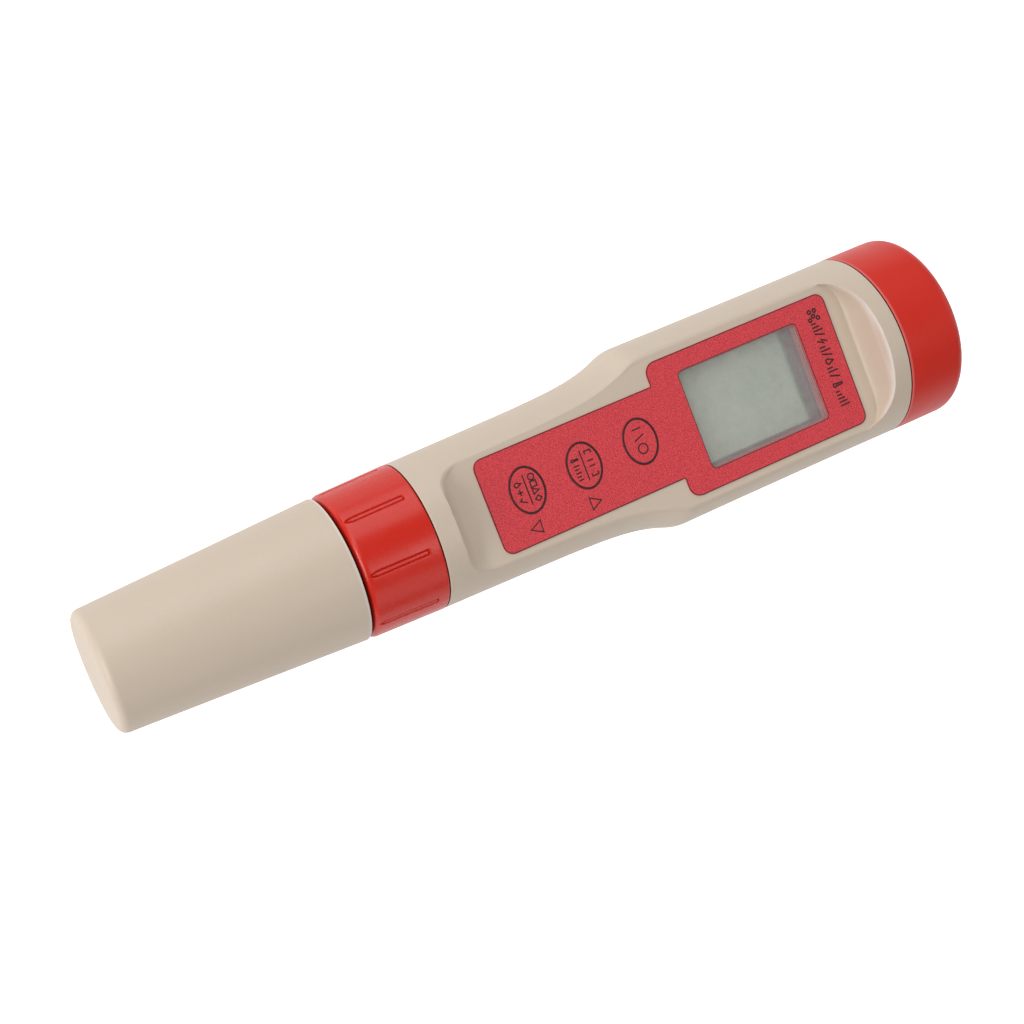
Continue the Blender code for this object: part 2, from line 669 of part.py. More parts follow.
def build_chassis(parts, cutters, looks):
    """Inner tray that carries the board and the four button cells."""
    chassis = turned("chassis", [
        (163.5, 0.0), (163.5, 16.6), (149.0, 16.6), (149.0, 0.0)], parts, 32)
    use_boolean(chassis, box("chassis_flat", (140.0, -20.0, 3.3), (170.0, 20.0, 20.0), cutters))
    tray = box("tray", (116.5, -13.6, -0.6), (149.5, 13.6, 1.0), cutters)
    use_boolean(chassis, tray, "UNION")
    for i, y in enumerate(SCREW_YS):
        boss = turned("board_boss_%d" % (i + 1), [
            (3.35, 0.0), (3.35, 2.1), (0.5, 2.1), (0.5, 0.0)],
            cutters, 20, centre=(SCREW_X, y), along="Z")
        use_boolean(chassis, boss, "UNION")
        hole = turned("boss_hole_%d" % (i + 1), [
            (4.0, 0.0), (4.0, 0.95), (-0.2, 0.95), (-0.2, 0.0)],
            cutters, 16, centre=(SCREW_X, y), along="Z")
        use_boolean(chassis, hole)
    cell = 1
    for i, y in enumerate((-CELL_Y, CELL_Y)):
        well = turned("cell_well_%d" % (i + 1), [
            (165.0, 0.0), (165.0, CELL_R + 0.25), (150.4, CELL_R + 0.25), (150.4, 0.0)],
            cutters, 28, centre=(y, CELL_Z))
        use_boolean(chassis, well)
        wire_hole = turned("wire_hole_%d" % (i + 1), [
            (152.0, 0.0), (152.0, 0.9), (148.0, 0.9), (148.0, 0.0)],
            cutters, 12, centre=(y, CELL_Z))
        use_boolean(chassis, wire_hole)
        coil = [(x, y + py, CELL_Z + pz) for x, py, pz in helix(150.85, 2.5, 3.6, 0.72, 12)]
        dress(tube("contact_spring_%d" % (i + 1), coil, 0.22, parts), looks["pin_steel"])
        for k in range(2):
            x = FIRST_CELL_X + k * (CELL_LENGTH + 0.05)
            body = turned("cell_%d" % cell, [
                (x + CELL_LENGTH, 0.0),
                (x + CELL_LENGTH, 5.0),
                (x + CELL_LENGTH - 0.3, 5.5),
                (x + 0.7, CELL_R),
                (x + 0.5, 4.6),
                (x, 4.4),
                (x, 0.0)], parts, 24, centre=(y, CELL_Z))
            dress(body, looks["cell_steel"])
            cell += 1
        side = 1.0 if y > 0.0 else -1.0
        lead = [
            (150.2, y, CELL_Z), (147.6, y, CELL_Z), (146.6, y, CELL_Z + 1.0),
            (145.8, y + side * 3.0, CELL_Z + 2.6), (145.4, y + side * 6.2, -2.0),
            (145.2, y + side * 7.8, -0.9),
            (145.2, y + side * 7.8, 3.35)]
        dress(tube("battery_wire_%d" % (i + 1), lead, 0.45, parts),
              looks["wire_red"] if y > 0.0 else looks["wire_black"])
    weld(chassis)
    dress(chassis, looks["tray_white"])


def build_battery_cap(parts, cutters, looks):
    """Push-fit end cap with its seal and the plate that joins the two cell stacks."""
    cap = turned("battery_cap", [
        (BATTERY_CAP_END, 0.0),
        (BATTERY_CAP_END, BATTERY_CAP_R - 2.6),
        (BATTERY_CAP_END - 0.2, BATTERY_CAP_R - 1.6),
        (BATTERY_CAP_END - 0.76, BATTERY_CAP_R - 0.76),
        (BATTERY_CAP_END - 1.6, BATTERY_CAP_R - 0.2),
        (BATTERY_CAP_END - 2.6, BATTERY_CAP_R + 0.03),
        (BATTERY_CAP_START + 0.3, BATTERY_CAP_R),
        (BATTERY_CAP_START, BATTERY_CAP_R - 0.3),
        (BATTERY_CAP_START, 16.4),
        (167.2, 16.4),
        (167.2, 15.4),
        (165.8, 15.4),
        (165.8, 16.4),
        (165.1, 16.4),
        (164.8, 16.1),
        (164.8, 0.0)], parts, 48)
    hollow = turned("battery_cap_hollow", [
        (180.0, 4.0), (180.0, 13.8), (164.0, 13.8), (164.0, 4.0)], cutters, 24, closed=True)
    use_boolean(cap, hollow)
    dress(cap, looks["cap_red"])
    dress(turned("battery_cap_seal", ring_outline(166.5, 16.15, 0.55, 8), parts, 24, closed=True),
          looks["rubber"])
    plate = prism("bridge_plate", rounded([
        (-3.5, -11.5, 3.0), (3.5, -11.5, 3.0), (3.5, 11.5, 3.0), (-3.5, 11.5, 3.0)]),
        0.0, 0.35, parts)
    plate.rotation_euler = (0.0, math.radians(90.0), 0.0)
    plate.location = Vector((164.4, 0.0, CELL_Z + 3.4)) * MM
    dress(plate, looks["brass"])


def make_looks():
    """Return the materials by name."""
    return {
        "beige": finish("beige_abs", (205, 193, 174), 0.45),
        "collar_red": finish("gloss_red_abs", (203, 52, 44), 0.18),
        "cap_red": finish("satin_red_abs", (190, 44, 36), 0.35),
        "label_red": finish("label_film", (214, 66, 76), 0.5),
        "probe_grey": finish("probe_plastic", (58, 60, 64), 0.4),
        "bulb_glass": finish("bulb_glass", (205, 215, 205), 0.05, 0.0, 0.5),
        "junction_white": finish("junction_ceramic", (235, 232, 224), 0.7),
        "pin_steel": finish("steel", (190, 192, 196), 0.3, 1.0),
        "brass": finish("plated_brass", (205, 170, 90), 0.3, 1.0),
        "rubber": finish("seal_rubber", (28, 28, 30), 0.7),
        "sponge": finish("sponge", (226, 218, 196), 0.95),
        "clear": finish("clear_window", (235, 240, 240), 0.05, 0.0, 0.3),
        "frame_mauve": finish("frame_mauve", (124, 108, 106), 0.5),
        "lcd": finish("display_glass", (164, 168, 153), 0.2),
        "board_green": finish("board_green", (32, 92, 58), 0.45),
        "switch_black": finish("black_resin", (24, 24, 26), 0.45),
        "tray_white": finish("tray_white", (228, 226, 220), 0.5),
        "cell_steel": finish("cell_steel", (205, 206, 208), 0.22, 1.0),
        "wire_red": finish("wire_red", (190, 30, 30), 0.5),
        "wire_black": finish("wire_black", (22, 22, 24), 0.5),
    }


def main():
    """Build every sub-part."""
    clear_scene()
    parts = make_collection(PART)
    cutters = make_collection(CUTTERS)
    looks = make_looks()
    build_protective_cap(parts, cutters, looks)
    build_collar(parts, cutters, looks)
    build_probe(parts, cutters, looks)
    build_barrel(parts, cutters, looks)
    build_face(parts, cutters, looks)
    build_board(parts, cutters, looks)
    build_chassis(parts, cutters, looks)
    build_battery_cap(parts, cutters, looks)
    for tool in cutters.objects:
        tool.hide_render = True
        tool.display_type = "WIRE"


main()
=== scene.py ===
"""Looks of the water test pen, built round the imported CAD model."""
import math

import bmesh
import bpy
import numpy as np
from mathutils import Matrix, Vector


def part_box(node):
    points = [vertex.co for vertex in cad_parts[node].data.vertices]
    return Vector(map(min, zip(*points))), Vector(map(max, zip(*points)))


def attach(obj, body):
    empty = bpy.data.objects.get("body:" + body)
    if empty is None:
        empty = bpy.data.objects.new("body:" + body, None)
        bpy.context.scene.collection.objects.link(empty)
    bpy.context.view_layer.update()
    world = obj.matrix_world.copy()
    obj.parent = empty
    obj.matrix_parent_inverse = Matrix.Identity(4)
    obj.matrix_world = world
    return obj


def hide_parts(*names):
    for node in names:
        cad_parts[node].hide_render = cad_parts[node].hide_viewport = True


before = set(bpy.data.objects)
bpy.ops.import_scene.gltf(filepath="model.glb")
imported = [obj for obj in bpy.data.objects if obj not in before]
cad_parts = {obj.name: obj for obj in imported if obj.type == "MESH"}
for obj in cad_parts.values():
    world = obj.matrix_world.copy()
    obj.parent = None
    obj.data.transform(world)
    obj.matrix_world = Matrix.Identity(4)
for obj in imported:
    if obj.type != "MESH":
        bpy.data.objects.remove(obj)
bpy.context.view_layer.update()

MM = 0.001


def box_mm(node):
    """Lowest and highest corner of a CAD node in millimetres."""
    low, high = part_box(node)
    return np.array(low) / MM, np.array(high) / MM


CAP_END = box_mm("protective_cap")[1][0]
COLLAR_LOW, COLLAR_HIGH = box_mm("lock_collar")
BARREL_LOW, BARREL_HIGH = box_mm("barrel")
LABEL_LOW, LABEL_HIGH = box_mm("face_label")
WINDOW_LOW, WINDOW_HIGH = box_mm("display_window")
PEN_END = box_mm("battery_cap")[1][0]
KEYS = {name: box_mm(name) for name in ("key_mode", "key_hold", "key_power")}

BODY_OF_KEY = {"key_mode": "mode_key", "key_hold": "hold_key", "key_power": "power_key"}

# lengths are in millimetres unless a comment says otherwise: X runs up the pen, Z out of
# its face
FLOOR_Z = BARREL_LOW[2]
FACE_Z = LABEL_LOW[2] - 0.05
FILM_TOP = LABEL_HIGH[2]
INK_BOTTOM = FILM_TOP - 0.004
INK_TOP = FILM_TOP + 0.014
RIM_TOP = FILM_TOP + 0.012
BODY_START = COLLAR_HIGH[0] + 0.16
BODY_END = BARREL_HIGH[0]

# neck and cavity of the barrel
NECK_R = 11.8
BORE_R = 8.15
SOCKET_X = 68.0
CAVITY_X = 75.5
CAVITY_ROOF = 8.3

# recess in the face: rounded tip wall, sloping sides, crescent far wall
RECESS_START = 73.8
RECESS_END = 162.2
CORNER_R = 2.8
FAR_CORNER_R = 5.0
TIP_RUN = 5.0
TIP_RISE = 4.8
FAR_RUN = 1.85
FAR_RISE = 8.4
SIDE_SLOPE = 0.4
WALL_BLEND = 0.3
COVE_LIMIT = 0.985
COVE_SLOPE = 7.0
# width of the painted highlight along the recess crest
HIGHLIGHT_WIDTH = 0.13

# grip flutes of the collar
FLUTES = 8
FLUTE_PHASE = math.radians(-9.0)
FLUTE_DEPTH = 0.36
FLUTE_SINK = 0.07
FLUTE_HALF = 0.46
FLUTE_LINE = 0.13
FLUTE_ROUND = 0.1
FLUTE_START = 50.0
FLUTE_END = 61.9
FLUTE_POINT = 1.6

# thread ridge on the neck
THREAD_START = 57.5
THREAD_LEAD = 2.0
THREAD_TURNS = 2.0
THREAD_R = 11.95
THREAD_WIRE = 0.62
THREAD_STEPS = 64
THREAD_SIDES = 12

# battery cap
END_START = 168.3
END_R = 19.05
SPIGOT_START = 164.8
SPIGOT_R = 16.4

# label film, its openings and the keys; ovals are half sizes along X and Y
LABEL_STEP = 116.76
HALF_NARROW = 9.52
HALF_WIDE = 13.9
HOLE_LOW = 123.1
HOLE_HIGH = 151.12
HOLE_HALF = 10.12
KEY_HOLE = (3.74, 4.72)
KEY_PAD = (3.64, 4.62)
KEY_PAD_TOP = (3.6, 4.58)
KEY_RING = (3.62, 4.6)
KEY_WELL = (3.8, 4.85)
KEY_STEM = (1.6, 1.6)
STEM_WELL = (1.9, 1.9)
CUT_TOP = 12.0

# printed lines: widths, the row of signs over the display and its bars
SIGN_LINE = 0.27
KEY_LINE = 0.36
ARROW_LINE = 0.24
ROW_LINE = 0.32
ROW_X = 155.55
ROW_HALF = 1.15
BAR_PITCH = 0.72

# edges turning by more degrees than this stay sharp: plain pieces, then pieces with cuts
SMOOTH_ANGLE = 32.0
CUT_SMOOTH_ANGLE = 38.0

# light from the floor and the surroundings, as seen by anything but the camera
FLOOR_BOUNCE = 0.45
SKY_LIGHT = 0.196

# the floor's half width and its gap under the pen, in metres
STAGE_HALF = 3.0
STAGE_GAP = 0.0001

# painted shade: the shaded red that shows in the joints between the caps and the barrel
JOINT_SHADE_RGB = (160, 38, 24)

# outer radius of the barrel against x
BODY_X = np.array([
    64.6, 74.7, 85.0, 95.4, 102.5, 105.8, 108.6, 110.6, 112.6, 114.2, 115.2, 116.2, 118.5,
    126.5, 147.2, 157.5, 168.0])
BODY_R = np.array([
    14.74, 14.9, 15.09, 15.36, 15.8, 16.21, 16.74, 17.25, 17.9, 18.47, 18.73, 18.84, 18.85,
    18.84, 18.86, 18.91, 19.0])


# ---------------------------------------------------------------- materials

def linear(rgb):
    """Display colour 0-255 to linear."""
    out = []
    for channel in rgb:
        value = channel / 255.0
        out.append(value / 12.92 if value <= 0.04045 else ((value + 0.055) / 1.055) ** 2.4)
    return (*out, 1.0)


def shade(colour, factor):
    """Linear colour made darker or lighter, never past white."""
    return tuple(min(1.0, c * factor) for c in colour[:3]) + (1.0,)


class Nodes:
    """Small helper to wire a material's node tree."""

    def __init__(self, name):
        self.mat = bpy.data.materials.new(name)
        self.mat.use_nodes = True
        self.tree = self.mat.node_tree
        self.shader = self.tree.nodes["Principled BSDF"]
        self.coords = self.add("ShaderNodeTexCoord").outputs["Object"]

    def add(self, kind, **values):
        """Add a node and set inputs by name or attributes."""
        node = self.tree.nodes.new(kind)
        for key, value in values.items():
            if key in node.inputs:
                if isinstance(value, bpy.types.NodeSocket):
                    self.tree.links.new(value, node.inputs[key])
                else:
                    node.inputs[key].default_value = value
            else:
                setattr(node, key, value)
        return node

    def link(self, source, target):
        self.tree.links.new(source, target)

    def noise(self, scale, detail=2.0, roughness=0.5):
        """Noise with features of about 1 / scale metres."""
        return self.add(
            "ShaderNodeTexNoise", Vector=self.coords, Scale=scale, Detail=detail,
            Roughness=roughness).outputs["Fac"]

    def remap(self, value, low, high, new_low, new_high):
        node = self.add("ShaderNodeMapRange", Value=value)
        node.inputs["From Min"].default_value = low
        node.inputs["From Max"].default_value = high
        node.inputs["To Min"].default_value = new_low
        node.inputs["To Max"].default_value = new_high
        return node.outputs["Result"]

    def vary(self, scale, low, high, detail=2.0):
        """Value drifting from low to high with features of about 1 / scale metres."""
        return self.remap(self.noise(scale, detail), 0.3, 0.7, low, high)

    def mix(self, factor, first, second):
        """Mix two colours; each is a tuple or a socket."""
        node = self.tree.nodes.new("ShaderNodeMix")
        node.data_type = "RGBA"
        for socket, value in ((node.inputs[0], factor), (node.inputs[6], first),
                              (node.inputs[7], second)):
            if isinstance(value, bpy.types.NodeSocket):
                self.tree.links.new(value, socket)
            else:
                socket.default_value = value
        return node.outputs[2]

    def bump(self, height, distance, strength, normal=None):
        node = self.add("ShaderNodeBump", Height=height, Distance=distance, Strength=strength)
        if normal is not None:
            self.link(normal, node.inputs["Normal"])
        return node.outputs["Normal"]

    def set(self, **values):
        """Set Principled inputs."""
        for key, value in values.items():
            socket = self.shader.inputs[key.replace("_", " ")]
            if isinstance(value, bpy.types.NodeSocket):
                self.link(value, socket)
            else:
                socket.default_value = value


# edge sets how strongly the painted highlight on crests turns the colour towards white
def plastic(name, rgb, roughness, grain=9000.0, grain_depth=0.000004, tone=0.05, specular=0.5,
            spread=0.08, edge=0.0):
    """Moulded plastic: slight tone and gloss drift, fine grain, a painted highlight on crests and
    painted shade in the joints.
    """
    n = Nodes(name)
    base = linear(rgb)
    dark, light = shade(base, 1.0 - tone), shade(base, 1.0 + tone)
    drift = n.vary(55.0, 0.0, 1.0, 3.0)
    speck = n.remap(n.noise(1400.0, 2.0), 0.35, 0.75, 0.0, 1.0)
    body = n.mix(speck, n.mix(drift, dark, light), n.mix(drift, light, base))
    # the crest attribute paints a highlight on crests and lips (above 0) and shade in the joints
    # (below 0)
    if edge > 0.0:
        crest = n.add("ShaderNodeAttribute", attribute_name="crest").outputs["Fac"]
        painted_highlight = tuple(1.0 - (1.0 - c) * (1.0 - edge) for c in base[:3]) + (1.0,)
        body = n.mix(n.remap(crest, 0.0, 1.0, 0.0, 1.0), body, painted_highlight)
        body = n.mix(n.remap(crest, 0.0, -1.0, 0.0, 1.0), body, linear(JOINT_SHADE_RGB))
    n.set(Base_Color=body)
    n.set(Roughness=n.vary(260.0, roughness - spread / 2.0, roughness + spread / 2.0, 4.0))
    n.set(Specular_IOR_Level=specular)
    wave = n.bump(n.noise(120.0, 2.0), 0.00002, 0.35)
    n.set(Normal=n.bump(n.noise(grain, 3.0), grain_depth, 0.6, wave))
    return n.mat


def label_film():
    """Printed polycarbonate film with a fine leather grain on its face."""
    n = Nodes("label_film")
    cells = n.add("ShaderNodeTexVoronoi", Vector=n.coords, Scale=4300.0, Randomness=1.0)
    fine = n.noise(6000.0, 3.0, 0.65)
    height = n.add("ShaderNodeMath", operation="ADD")
    n.link(cells.outputs["Distance"], height.inputs[0])
    n.link(fine, height.inputs[1])
    pale = n.remap(height.outputs[0], 0.6, 1.15, 0.0, 1.0)
    drift = n.vary(60.0, 0.0, 0.12)
    printed = n.mix(pale, linear((170, 41, 53)), linear((231, 75, 82)))
    n.set(Base_Color=n.mix(drift, printed, linear((206, 66, 76))))
    n.set(Roughness=n.remap(fine, 0.3, 0.7, 0.5, 0.68), Specular_IOR_Level=0.35)
    n.set(Normal=n.bump(height.outputs[0], 0.00005, 0.5))
    return n.mat


def ink(name, rgb=(36, 15, 18)):
    """Screen-printed ink."""
    n = Nodes(name)
    base = linear(rgb)
    worn = n.remap(n.noise(2500.0), 0.35, 0.7, 0.0, 1.0)
    n.set(Base_Color=n.mix(worn, base, shade(base, 1.5)))
    n.set(Roughness=n.vary(3000.0, 0.45, 0.65))
    return n.mat


def display_face():
    """Reflective LCD: grey-green with a faint cell texture and polariser sheen."""
    n = Nodes("display_face")
    drift = n.vary(60.0, 0.0, 1.0)
    grain = n.vary(9000.0, 0.96, 1.04)
    tint = n.mix(drift, linear((179, 184, 165)), linear((167, 175, 160)))
    scaled = n.add("ShaderNodeVectorMath", operation="SCALE")
    n.link(tint, scaled.inputs[0])
    n.link(grain, scaled.inputs["Scale"])
    n.set(Base_Color=scaled.outputs[0])
    n.set(Roughness=n.vary(900.0, 0.2, 0.28), Specular_IOR_Level=0.5)
    return n.mat


def clear(name, tint=(236, 240, 238), roughness=0.04, alpha=0.12):
    """Thin clear pane that light passes straight through."""
    n = Nodes(name)
    n.set(Base_Color=linear(tint), Specular_IOR_Level=0.5)
    n.set(Roughness=n.vary(700.0, roughness, roughness + 0.04))
    n.set(Alpha=n.vary(500.0, alpha - 0.02, alpha + 0.02))
    return n.mat


def metal(name, rgb, roughness, grain=5000.0):
    """Plated or drawn metal with a fine grain."""
    n = Nodes(name)
    base = linear(rgb)
    n.set(Base_Color=n.mix(n.vary(400.0, 0.0, 1.0, 3.0), base, shade(base, 0.85)))
    n.set(Metallic=1.0)
    n.set(Roughness=n.vary(1500.0, roughness, roughness + 0.12, 3.0))
    n.set(Normal=n.bump(n.noise(grain), 0.000006, 0.4))
    return n.mat


def seal_rubber():
    """Black rubber with a trace of dust."""
    n = Nodes("seal_rubber")
    base = linear((30, 30, 32))
    dust = n.remap(n.noise(700.0, 4.0), 0.4, 0.8, 0.0, 1.0)
    n.set(Base_Color=n.mix(dust, base, shade(base, 1.9)))
    n.set(Roughness=n.vary(900.0, 0.6, 0.78))
    n.set(Normal=n.bump(n.noise(6000.0), 0.00001, 0.5))
    return n.mat


def sponge_foam():
    """Open-cell foam."""
    n = Nodes("sponge_foam")
    cells = n.add("ShaderNodeTexVoronoi", Vector=n.coords, Scale=1500.0)
    pits = n.remap(cells.outputs["Distance"], 0.05, 0.6, 0.0, 1.0)
    n.set(Base_Color=n.mix(pits, linear((168, 150, 112)), linear((232, 224, 200))))
    n.set(Roughness=n.vary(2000.0, 0.85, 0.98))
    n.set(Normal=n.bump(pits, 0.0004, 0.8))
    return n.mat


def board_laminate():
    """Solder mask over laminate with faint copper traces."""
    n = Nodes("board_laminate")
    wave = n.add(
        "ShaderNodeTexWave", Vector=n.coords, Scale=220.0, Distortion=6.0, Detail=1.0)
    lines = n.remap(wave.outputs["Fac"], 0.55, 0.7, 0.0, 1.0)
    n.set(Base_Color=n.mix(lines, linear((26, 88, 56)), linear((44, 116, 72))))
    n.set(Roughness=n.vary(600.0, 0.32, 0.5))
    n.set(Normal=n.bump(lines, 0.00003, 0.5))
    return n.mat


LOOKS = {
    "beige": plastic("beige_abs", (208, 191, 172), 0.42, tone=0.02, edge=0.4),
    "collar": plastic("gloss_red_abs", (209, 40, 25), 0.27, grain=5000.0, grain_depth=0.000002,
                      tone=0.03, spread=0.06, specular=0.45, edge=0.2),
    "end": plastic("satin_red_abs", (212, 46, 33), 0.36, tone=0.03, spread=0.06, specular=0.27,
                   edge=0.12),
    "label": label_film(),
    "ink": ink("label_ink"),
    "film_edge": ink("film_edge", (84, 20, 24)),
    # pinkish brown that paints the dim, red-lit wall of the display well
    "well_shade": ink("well_wall_shade", (158, 92, 90)),
    "lcd": display_face(),
    "clear": clear("clear_pane"),
    "bulb": clear("bulb_glass", (214, 226, 214), 0.03, 0.35),
    "probe": plastic("probe_plastic", (58, 60, 64), 0.4, tone=0.08),
    # dark mauve that paints the band of shade and reflection at the display's edges
    "frame": plastic("frame_mauve", (114, 97, 95), 0.5),
    "tray": plastic("tray_white", (226, 224, 218), 0.5),
    "resin": plastic("black_resin", (24, 24, 26), 0.42, tone=0.1),
    "ceramic": plastic("junction_ceramic", (235, 232, 224), 0.75, grain=3000.0,
                       grain_depth=0.00002),
    "steel": metal("drawn_steel", (196, 198, 202), 0.22),
    "brass": metal("plated_brass", (214, 180, 104), 0.24),
    "cell": metal("cell_steel", (208, 209, 211), 0.16, grain=5900.0),
    "rubber": seal_rubber(),
    "sponge": sponge_foam(),
    "board": board_laminate(),
    "wire_red": plastic("wire_red", (186, 28, 28), 0.45),
    "wire_black": plastic("wire_black", (22, 22, 24), 0.45),
}


def numbered(name, count):
    """Node names numbered from 1."""
    return ["%s_%d" % (name, i + 1) for i in range(count)]


NODE_LOOKS = {
    "clear": ["display_window"],
    "frame": ["display_frame"],
    "lcd": ["display_panel"],
    "bulb": ["glass_bulb"],
    "ceramic": ["reference_junction"],
    "steel": ["temperature_pin"] + numbered("ec_pin", 2) + numbered("board_screw", 2)
    + numbered("contact_spring", 2),
    "brass": ["bridge_plate"] + numbered("connector_pin", 5),
    "rubber": ["cap_seal", "probe_seal", "battery_cap_seal"] + numbered("contact_strip", 2),
    "sponge": ["cap_sponge"],
    "board": ["circuit_board"],
    "resin": ["microcontroller", "probe_socket"] + numbered("switch_base", 3)
    + numbered("switch_button", 3),
    "tray": ["chassis"],
    "cell": numbered("cell", 4),
    "probe": ["probe_shell", "probe_connector"],
    "wire_red": ["battery_wire_2"],
    "wire_black": ["battery_wire_1"],
}


def dress_nodes():
    """Give each CAD node that stays in view its own procedural finish."""
    for look, names in NODE_LOOKS.items():
        for name in names:
            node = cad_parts[name]
            node.data.materials.clear()
            node.data.materials.append(LOOKS[look])


# ---------------------------------------------------------------- geometry

def smooth_shading(mesh, angle):
    """Shade smoothly, except across edges sharper than the angle in degrees."""
    for polygon in mesh.polygons:
        polygon.use_smooth = True
    mesh.set_sharp_from_angle(angle=math.radians(angle))


def piece(name, verts, faces, look, body, slot=None, replaces=(), smooth=SMOOTH_ANGLE):
    """Make a mesh piece from millimetre points and hang it on its body."""
    mesh = bpy.data.meshes.new(name)
    mesh.from_pydata((np.asarray(verts, float) * MM).tolist(), [], faces)
    bm = bmesh.new()
    bm.from_mesh(mesh)
    bmesh.ops.recalc_face_normals(bm, faces=bm.faces)
    bm.to_mesh(mesh)
    bm.free()
    obj = bpy.data.objects.new(name, mesh)
    bpy.context.scene.collection.objects.link(obj)
    mesh.materials.append(LOOKS[look])
    smooth_shading(mesh, smooth)
    if body is not None:
        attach(obj, body)
    if replaces:
        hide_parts(*replaces)
    return obj


def paint_crest_light(obj, strength):
    """Store, point by point, the painted highlight on an edge (above 0) and the painted shade in
    a joint (below 0).
    """
    layer = obj.data.attributes.new("crest", "FLOAT", "POINT")
    layer.data.foreach_set("value", np.asarray(strength, np.float32))


def paint_lip_light(obj, x, width, edge_x, edge_r):
    """Paint a highlight on a turned edge at x and shade on the joint face inside it."""
    points = np.array([vertex.co for vertex in obj.data.vertices]) / MM
    radius = np.hypot(points[:, 1], points[:, 2])
    pale = np.exp(-((points[:, 0] - x) / width) ** 2) * (radius > edge_r)
    joint = (radius <= edge_r) & (np.abs(points[:, 0] - edge_x) < 0.3)
    paint_crest_light(obj, pale - joint)


def fillet(corners, closed=False, segments=6):
    """Polyline of (x, y, radius) corners with arcs at the corners."""
    points = []
    count = len(corners)
    for i, (x, y, radius) in enumerate(corners):
        here = np.array((x, y), float)
        if radius <= 0.0 or (not closed and i in (0, count - 1)):
            points.append(here)
            continue
        before = np.array(corners[i - 1][:2], float) - here
        after = np.array(corners[(i + 1) % count][:2], float) - here
        before /= np.linalg.norm(before)
        after /= np.linalg.norm(after)
        half = math.acos(float(np.clip(before @ after, -1.0, 1.0))) / 2.0
        bisector = before + after
        bisector /= np.linalg.norm(bisector)
        middle = here + bisector * radius / math.sin(half)
        start = here + before * radius / math.tan(half) - middle
        end = here + after * radius / math.tan(half) - middle
        turn = math.atan2(start[0] * end[1] - start[1] * end[0], start @ end)
        for k in range(segments + 1):
            a = turn * k / segments
            points.append(middle + np.array((
                start[0] * math.cos(a) - start[1] * math.sin(a),
                start[0] * math.sin(a) + start[1] * math.cos(a))))
    return np.array(points)


def tube_faces(rings, points, closed=False):
    """Quads between consecutive rings of points; closed also joins the last to the first."""
    faces = []
    for i in range(rings if closed else rings - 1):
        j = (i + 1) % rings
        for k in range(points):
            m = (k + 1) % points
            faces.append((i * points + k, i * points + m, j * points + m, j * points + k))
    return faces


def end_faces(rings, points):
    """The two faces that close a tube of rings of points."""
    last = (rings - 1) * points
    return [tuple(range(points))[::-1], tuple(range(last, last + points))]


def lathe(name, profile, look, body, segments=144, **extra):
    """Turn a closed outline of (x, r) points about the X axis."""
    angles = np.linspace(0.0, math.tau, segments, endpoint=False)
    verts, rings = [], []
    for x, r in profile:
        if r < 1e-6:
            rings.append([len(verts)])
            verts.append((x, 0.0, 0.0))
            continue
        rings.append(list(range(len(verts), len(verts) + segments)))
        verts.extend((x, r * math.sin(a), r * math.cos(a)) for a in angles)
    faces = []
    for one, two in zip(rings, rings[1:] + rings[:1]):
        for k in range(segments):
            m = (k + 1) % segments
            if len(one) == 1 and len(two) == 1:
                break
            if len(one) == 1:
                faces.append((one[0], two[k], two[m]))
            elif len(two) == 1:
                faces.append((one[k], two[0], one[m]))
            else:
                faces.append((one[k], two[k], two[m], one[m]))
    return piece(name, verts, faces, look, body, **extra)


def prism(name, outline, bottom, top, look, body, **extra):
    """Extrude an XY outline."""
    count = len(outline)
    verts = [(x, y, bottom) for x, y in outline] + [(x, y, top) for x, y in outline]
    faces = end_faces(2, count) + tube_faces(2, count)
    return piece(name, verts, faces, look, body, **extra)


def cutter(name, outline, bottom):
    """Prism from a depth to well over the face, to be cut out of another piece."""
    return prism("cut_" + name, outline, bottom, CUT_TOP, "label", None)


def rectangle(low_x, high_x, half_y, radius):
    """Rectangle about the pen's middle line, with rounded corners."""
    return fillet([
        (low_x, -half_y, radius), (high_x, -half_y, radius), (high_x, half_y, radius),
        (low_x, half_y, radius)], closed=True)


def apply_modifiers(obj):
    """Replace an object's mesh with its evaluated mesh."""
    graph = bpy.context.evaluated_depsgraph_get()
    mesh = bpy.data.meshes.new_from_object(obj.evaluated_get(graph))
    obj.modifiers.clear()
    obj.data = mesh


def subtract(target, tools):
    """Cut the tools out of the target and remove them."""
    for tool in tools:
        cut = target.modifiers.new("Cut", "BOOLEAN")
        cut.operation = "DIFFERENCE"
        cut.solver = "EXACT"
        cut.object = tool
    apply_modifiers(target)
    smooth_shading(target.data, CUT_SMOOTH_ANGLE)
    for tool in tools:
        bpy.data.objects.remove(tool, do_unlink=True)


def oval(centre, semi_x, semi_y, count=96):
    """Points of an oval about a centre."""
    a = np.linspace(0.0, math.tau, count, endpoint=False)
    return np.stack([centre[0] + semi_x * np.cos(a), centre[1] + semi_y * np.sin(a)], 1)


def soft_max(a, b, k):
    """The larger of two values, rounded off where they come within k of each other."""
    h = np.maximum(k - np.abs(a - b), 0.0) / k
    return np.maximum(a, b) + h * h * k / 4.0


def soft_min(a, b, k):
    """The smaller of two values, rounded off in the same way."""
    return -soft_max(-a, -b, k)


def smooth_step(value, low, high):
    """Ease from 0 at low to 1 at high."""
    t = np.clip((value - low) / (high - low), 0.0, 1.0)
    return t * t * (3.0 - 2.0 * t)


# ---------------------------------------------------------------- barrel

